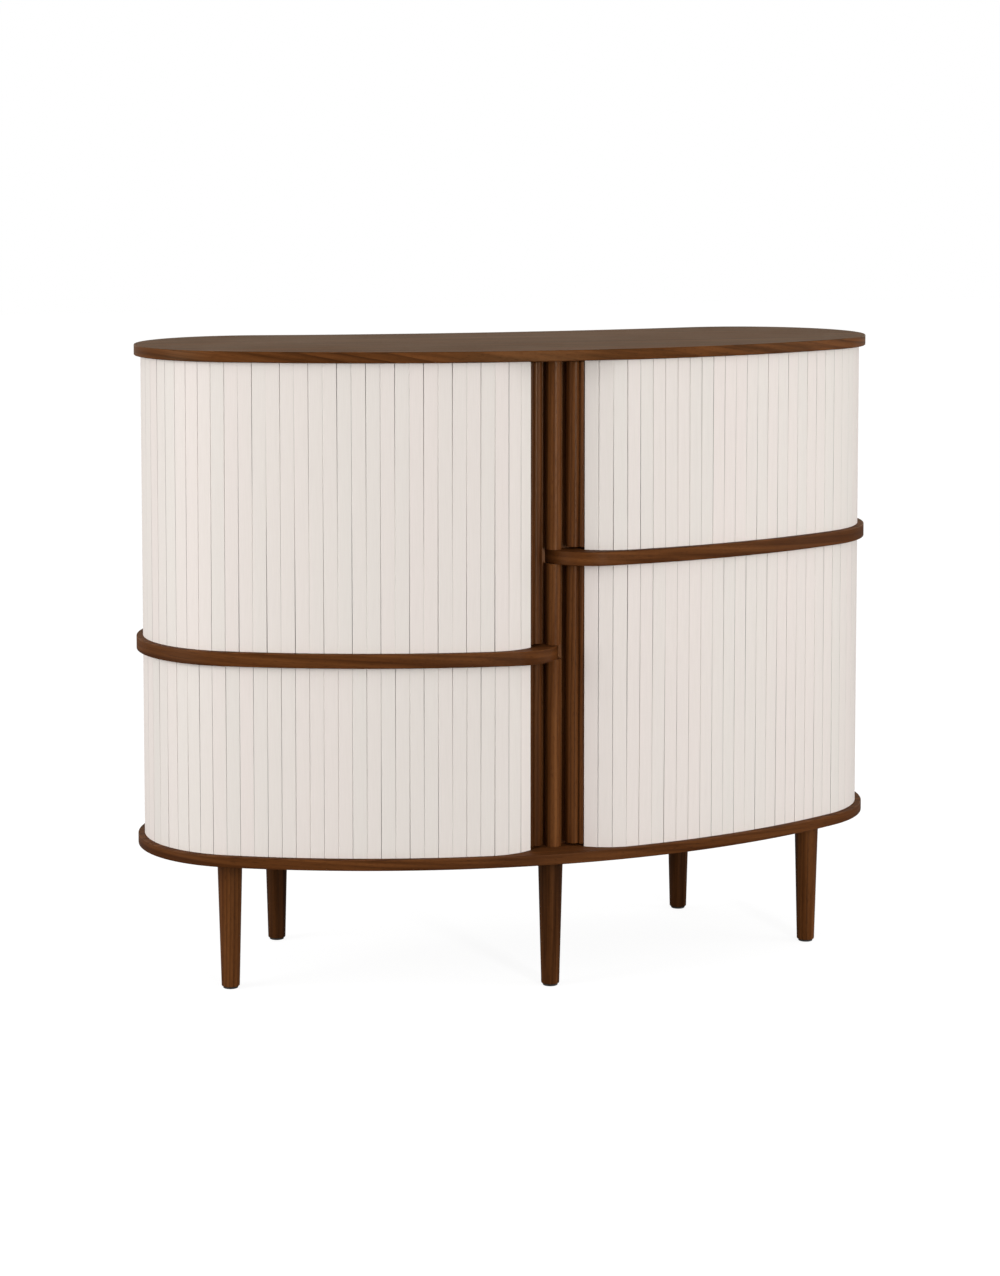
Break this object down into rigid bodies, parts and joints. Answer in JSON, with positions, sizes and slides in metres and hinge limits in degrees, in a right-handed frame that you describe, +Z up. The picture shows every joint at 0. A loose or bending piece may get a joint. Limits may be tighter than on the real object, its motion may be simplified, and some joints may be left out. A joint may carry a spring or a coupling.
{
  "type": "highboard",
  "caption": "Bow-fronted cabinet with rounded ends and a concave back, on tapered round legs, closed by textile-faced tambour doors at staggered heights.",
  "frame": {"origin": "on the floor, at the middle of the bounding box's underside", "axes": "+Z up, +X to the right seen from the front, -Y towards the front"},
  "size_m": [1.2996, 0.5285, 1.073],
  "materials": {
    "walnut": "satin lacquered dark walnut veneer and solid wood",
    "inner_walnut": "matt lacquered walnut veneer inside the cabinet",
    "slat_textile": "warm off-white woven textile wrapped round flat slats",
    "zinc_steel": "zinc-plated threaded rod",
    "glide_plastic": "black matt glide"
  },
  "bodies": {
    "cabinet": {"base_panel": "walnut", "top_panel": "walnut", "left_shelf_board": "walnut", "right_shelf_board": "walnut", "centre_post": "walnut", "centre_divider": "inner_walnut", "upper_left_back_panel": "walnut", "lower_left_back_panel": "walnut", "upper_right_back_panel": "walnut", "lower_right_back_panel": "walnut", "upper_left_inner_shelf": "inner_walnut", "lower_right_inner_shelf": "inner_walnut", "leg_front_left": "walnut", "leg_bolt_front_left": "zinc_steel", "glide_front_left": "glide_plastic", "leg_front_centre": "walnut", "leg_bolt_front_centre": "zinc_steel", "glide_front_centre": "glide_plastic", "leg_front_right": "walnut", "leg_bolt_front_right": "zinc_steel", "glide_front_right": "glide_plastic", "leg_back_left": "walnut", "leg_bolt_back_left": "zinc_steel", "glide_back_left": "glide_plastic", "leg_back_right": "walnut", "leg_bolt_back_right": "zinc_steel", "glide_back_right": "glide_plastic"},
    "upper_left_door_lead": {"upper_left_door_handle": "walnut", "upper_left_door_leading_slats": "slat_textile"},
    "upper_left_door_turning_slats_1": {"upper_left_door_turning_slats_1": "slat_textile"},
    "upper_left_door_turning_slats_2": {"upper_left_door_turning_slats_2": "slat_textile"},
    "upper_left_door_turning_slats_3": {"upper_left_door_turning_slats_3": "slat_textile"},
    "upper_left_door_turning_slats_4": {"upper_left_door_turning_slats_4": "slat_textile"},
    "upper_left_door_turning_slats_5": {"upper_left_door_turning_slats_5": "slat_textile"},
    "upper_left_door_end_slats": {"upper_left_door_end_slats": "slat_textile"},
    "lower_left_door_lead": {"lower_left_door_handle": "walnut", "lower_left_door_leading_slats": "slat_textile"},
    "lower_left_door_turning_slats_1": {"lower_left_door_turning_slats_1": "slat_textile"},
    "lower_left_door_turning_slats_2": {"lower_left_door_turning_slats_2": "slat_textile"},
    "lower_left_door_turning_slats_3": {"lower_left_door_turning_slats_3": "slat_textile"},
    "lower_left_door_turning_slats_4": {"lower_left_door_turning_slats_4": "slat_textile"},
    "lower_left_door_turning_slats_5": {"lower_left_door_turning_slats_5": "slat_textile"},
    "lower_left_door_end_slats": {"lower_left_door_end_slats": "slat_textile"},
    "upper_right_door_lead": {"upper_right_door_handle": "walnut", "upper_right_door_leading_slats": "slat_textile"},
    "upper_right_door_turning_slats_1": {"upper_right_door_turning_slats_1": "slat_textile"},
    "upper_right_door_turning_slats_2": {"upper_right_door_turning_slats_2": "slat_textile"},
    "upper_right_door_turning_slats_3": {"upper_right_door_turning_slats_3": "slat_textile"},
    "upper_right_door_turning_slats_4": {"upper_right_door_turning_slats_4": "slat_textile"},
    "upper_right_door_turning_slats_5": {"upper_right_door_turning_slats_5": "slat_textile"},
    "upper_right_door_end_slats": {"upper_right_door_end_slats": "slat_textile"},
    "lower_right_door_lead": {"lower_right_door_handle": "walnut", "lower_right_door_leading_slats": "slat_textile"},
    "lower_right_door_turning_slats_1": {"lower_right_door_turning_slats_1": "slat_textile"},
    "lower_right_door_turning_slats_2": {"lower_right_door_turning_slats_2": "slat_textile"},
    "lower_right_door_turning_slats_3": {"lower_right_door_turning_slats_3": "slat_textile"},
    "lower_right_door_turning_slats_4": {"lower_right_door_turning_slats_4": "slat_textile"},
    "lower_right_door_turning_slats_5": {"lower_right_door_turning_slats_5": "slat_textile"},
    "lower_right_door_end_slats": {"lower_right_door_end_slats": "slat_textile"}
  },
  "joints": [
    {"name": "upper_left_door_slide_round", "type": "hinge", "parent": "cabinet", "child": "upper_left_door_lead", "pos_m": [0, 0.87274, 0], "axis": [0, 0, -1], "range_deg": [0, 11.88]},
    {"name": "upper_left_door_turning_slats_1_turn", "type": "hinge", "parent": "cabinet", "child": "upper_left_door_turning_slats_1", "pos_m": [-0.14128, 0.53587, 0], "axis": [0, 0, -1], "range_deg": [0, 17.59]},
    {"name": "upper_left_door_turning_slats_2_turn", "type": "hinge", "parent": "cabinet", "child": "upper_left_door_turning_slats_2", "pos_m": [-0.27234, 0.26502, 0], "axis": [0, 0, -1], "range_deg": [0, 29]},
    {"name": "upper_left_door_turning_slats_3_turn", "type": "hinge", "parent": "cabinet", "child": "upper_left_door_turning_slats_3", "pos_m": [-0.34138, 0.15274, 0], "axis": [0, 0, -1], "range_deg": [0, 40.41]},
    {"name": "upper_left_door_turning_slats_4_turn", "type": "hinge", "parent": "cabinet", "child": "upper_left_door_turning_slats_4", "pos_m": [-0.38873, 0.09557, 0], "axis": [0, 0, -1], "range_deg": [0, 51.82]},
    {"name": "upper_left_door_turning_slats_5_turn", "type": "hinge", "parent": "cabinet", "child": "upper_left_door_turning_slats_5", "pos_m": [-0.4255, 0.06474, 0], "axis": [0, 0, -1], "range_deg": [0, 63.23]},
    {"name": "upper_left_door_end_slats_turn", "type": "hinge", "parent": "cabinet", "child": "upper_left_door_end_slats", "pos_m": [-0.4416, 0.05586, 0], "axis": [0, 0, -1], "range_deg": [0, 68.93]},
    {"name": "lower_left_door_slide_round", "type": "hinge", "parent": "cabinet", "child": "lower_left_door_lead", "pos_m": [0, 0.87274, 0], "axis": [0, 0, -1], "range_deg": [0, 11.88]},
    {"name": "lower_left_door_turning_slats_1_turn", "type": "hinge", "parent": "cabinet", "child": "lower_left_door_turning_slats_1", "pos_m": [-0.14128, 0.53587, 0], "axis": [0, 0, -1], "range_deg": [0, 17.59]},
    {"name": "lower_left_door_turning_slats_2_turn", "type": "hinge", "parent": "cabinet", "child": "lower_left_door_turning_slats_2", "pos_m": [-0.27234, 0.26502, 0], "axis": [0, 0, -1], "range_deg": [0, 29]},
    {"name": "lower_left_door_turning_slats_3_turn", "type": "hinge", "parent": "cabinet", "child": "lower_left_door_turning_slats_3", "pos_m": [-0.34138, 0.15274, 0], "axis": [0, 0, -1], "range_deg": [0, 40.41]},
    {"name": "lower_left_door_turning_slats_4_turn", "type": "hinge", "parent": "cabinet", "child": "lower_left_door_turning_slats_4", "pos_m": [-0.38873, 0.09557, 0], "axis": [0, 0, -1], "range_deg": [0, 51.82]},
    {"name": "lower_left_door_turning_slats_5_turn", "type": "hinge", "parent": "cabinet", "child": "lower_left_door_turning_slats_5", "pos_m": [-0.4255, 0.06474, 0], "axis": [0, 0, -1], "range_deg": [0, 63.23]},
    {"name": "lower_left_door_end_slats_turn", "type": "hinge", "parent": "cabinet", "child": "lower_left_door_end_slats", "pos_m": [-0.4416, 0.05586, 0], "axis": [0, 0, -1], "range_deg": [0, 68.93]},
    {"name": "upper_right_door_slide_round", "type": "hinge", "parent": "cabinet", "child": "upper_right_door_lead", "pos_m": [0, 0.87274, 0], "axis": [0, 0, 1], "range_deg": [0, 11.88]},
    {"name": "upper_right_door_turning_slats_1_turn", "type": "hinge", "parent": "cabinet", "child": "upper_right_door_turning_slats_1", "pos_m": [0.14128, 0.53587, 0], "axis": [0, 0, 1], "range_deg": [0, 17.59]},
    {"name": "upper_right_door_turning_slats_2_turn", "type": "hinge", "parent": "cabinet", "child": "upper_right_door_turning_slats_2", "pos_m": [0.27234, 0.26502, 0], "axis": [0, 0, 1], "range_deg": [0, 29]},
    {"name": "upper_right_door_turning_slats_3_turn", "type": "hinge", "parent": "cabinet", "child": "upper_right_door_turning_slats_3", "pos_m": [0.34138, 0.15274, 0], "axis": [0, 0, 1], "range_deg": [0, 40.41]},
    {"name": "upper_right_door_turning_slats_4_turn", "type": "hinge", "parent": "cabinet", "child": "upper_right_door_turning_slats_4", "pos_m": [0.38873, 0.09557, 0], "axis": [0, 0, 1], "range_deg": [0, 51.82]},
    {"name": "upper_right_door_turning_slats_5_turn", "type": "hinge", "parent": "cabinet", "child": "upper_right_door_turning_slats_5", "pos_m": [0.4255, 0.06474, 0], "axis": [0, 0, 1], "range_deg": [0, 63.23]},
    {"name": "upper_right_door_end_slats_turn", "type": "hinge", "parent": "cabinet", "child": "upper_right_door_end_slats", "pos_m": [0.4416, 0.05586, 0], "axis": [0, 0, 1], "range_deg": [0, 68.93]},
    {"name": "lower_right_door_slide_round", "type": "hinge", "parent": "cabinet", "child": "lower_right_door_lead", "pos_m": [0, 0.87274, 0], "axis": [0, 0, 1], "range_deg": [0, 11.88]},
    {"name": "lower_right_door_turning_slats_1_turn", "type": "hinge", "parent": "cabinet", "child": "lower_right_door_turning_slats_1", "pos_m": [0.14128, 0.53587, 0], "axis": [0, 0, 1], "range_deg": [0, 17.59]},
    {"name": "lower_right_door_turning_slats_2_turn", "type": "hinge", "parent": "cabinet", "child": "lower_right_door_turning_slats_2", "pos_m": [0.27234, 0.26502, 0], "axis": [0, 0, 1], "range_deg": [0, 29]},
    {"name": "lower_right_door_turning_slats_3_turn", "type": "hinge", "parent": "cabinet", "child": "lower_right_door_turning_slats_3", "pos_m": [0.34138, 0.15274, 0], "axis": [0, 0, 1], "range_deg": [0, 40.41]},
    {"name": "lower_right_door_turning_slats_4_turn", "type": "hinge", "parent": "cabinet", "child": "lower_right_door_turning_slats_4", "pos_m": [0.38873, 0.09557, 0], "axis": [0, 0, 1], "range_deg": [0, 51.82]},
    {"name": "lower_right_door_turning_slats_5_turn", "type": "hinge", "parent": "cabinet", "child": "lower_right_door_turning_slats_5", "pos_m": [0.4255, 0.06474, 0], "axis": [0, 0, 1], "range_deg": [0, 63.23]},
    {"name": "lower_right_door_end_slats_turn", "type": "hinge", "parent": "cabinet", "child": "lower_right_door_end_slats", "pos_m": [0.4416, 0.05586, 0], "axis": [0, 0, 1], "range_deg": [0, 68.93]}
  ],
  "couplings": [
    {"joint": "upper_left_door_turning_slats_1_turn", "follows": "upper_left_door_slide_round", "ratio": 1.4801},
    {"joint": "upper_left_door_turning_slats_2_turn", "follows": "upper_left_door_slide_round", "ratio": 2.4404},
    {"joint": "upper_left_door_turning_slats_3_turn", "follows": "upper_left_door_slide_round", "ratio": 3.4007},
    {"joint": "upper_left_door_turning_slats_4_turn", "follows": "upper_left_door_slide_round", "ratio": 4.361},
    {"joint": "upper_left_door_turning_slats_5_turn", "follows": "upper_left_door_slide_round", "ratio": 5.3213},
    {"joint": "upper_left_door_end_slats_turn", "follows": "upper_left_door_slide_round", "ratio": 5.8014},
    {"joint": "lower_left_door_turning_slats_1_turn", "follows": "lower_left_door_slide_round", "ratio": 1.4801},
    {"joint": "lower_left_door_turning_slats_2_turn", "follows": "lower_left_door_slide_round", "ratio": 2.4404},
    {"joint": "lower_left_door_turning_slats_3_turn", "follows": "lower_left_door_slide_round", "ratio": 3.4007},
    {"joint": "lower_left_door_turning_slats_4_turn", "follows": "lower_left_door_slide_round", "ratio": 4.361},
    {"joint": "lower_left_door_turning_slats_5_turn", "follows": "lower_left_door_slide_round", "ratio": 5.3213},
    {"joint": "lower_left_door_end_slats_turn", "follows": "lower_left_door_slide_round", "ratio": 5.8014},
    {"joint": "upper_right_door_turning_slats_1_turn", "follows": "upper_right_door_slide_round", "ratio": 1.4801},
    {"joint": "upper_right_door_turning_slats_2_turn", "follows": "upper_right_door_slide_round", "ratio": 2.4404},
    {"joint": "upper_right_door_turning_slats_3_turn", "follows": "upper_right_door_slide_round", "ratio": 3.4007},
    {"joint": "upper_right_door_turning_slats_4_turn", "follows": "upper_right_door_slide_round", "ratio": 4.361},
    {"joint": "upper_right_door_turning_slats_5_turn", "follows": "upper_right_door_slide_round", "ratio": 5.3213},
    {"joint": "upper_right_door_end_slats_turn", "follows": "upper_right_door_slide_round", "ratio": 5.8014},
    {"joint": "lower_right_door_turning_slats_1_turn", "follows": "lower_right_door_slide_round", "ratio": 1.4801},
    {"joint": "lower_right_door_turning_slats_2_turn", "follows": "lower_right_door_slide_round", "ratio": 2.4404},
    {"joint": "lower_right_door_turning_slats_3_turn", "follows": "lower_right_door_slide_round", "ratio": 3.4007},
    {"joint": "lower_right_door_turning_slats_4_turn", "follows": "lower_right_door_slide_round", "ratio": 4.361},
    {"joint": "lower_right_door_turning_slats_5_turn", "follows": "lower_right_door_slide_round", "ratio": 5.3213},
    {"joint": "lower_right_door_end_slats_turn", "follows": "lower_right_door_slide_round", "ratio": 5.8014}
  ]
}
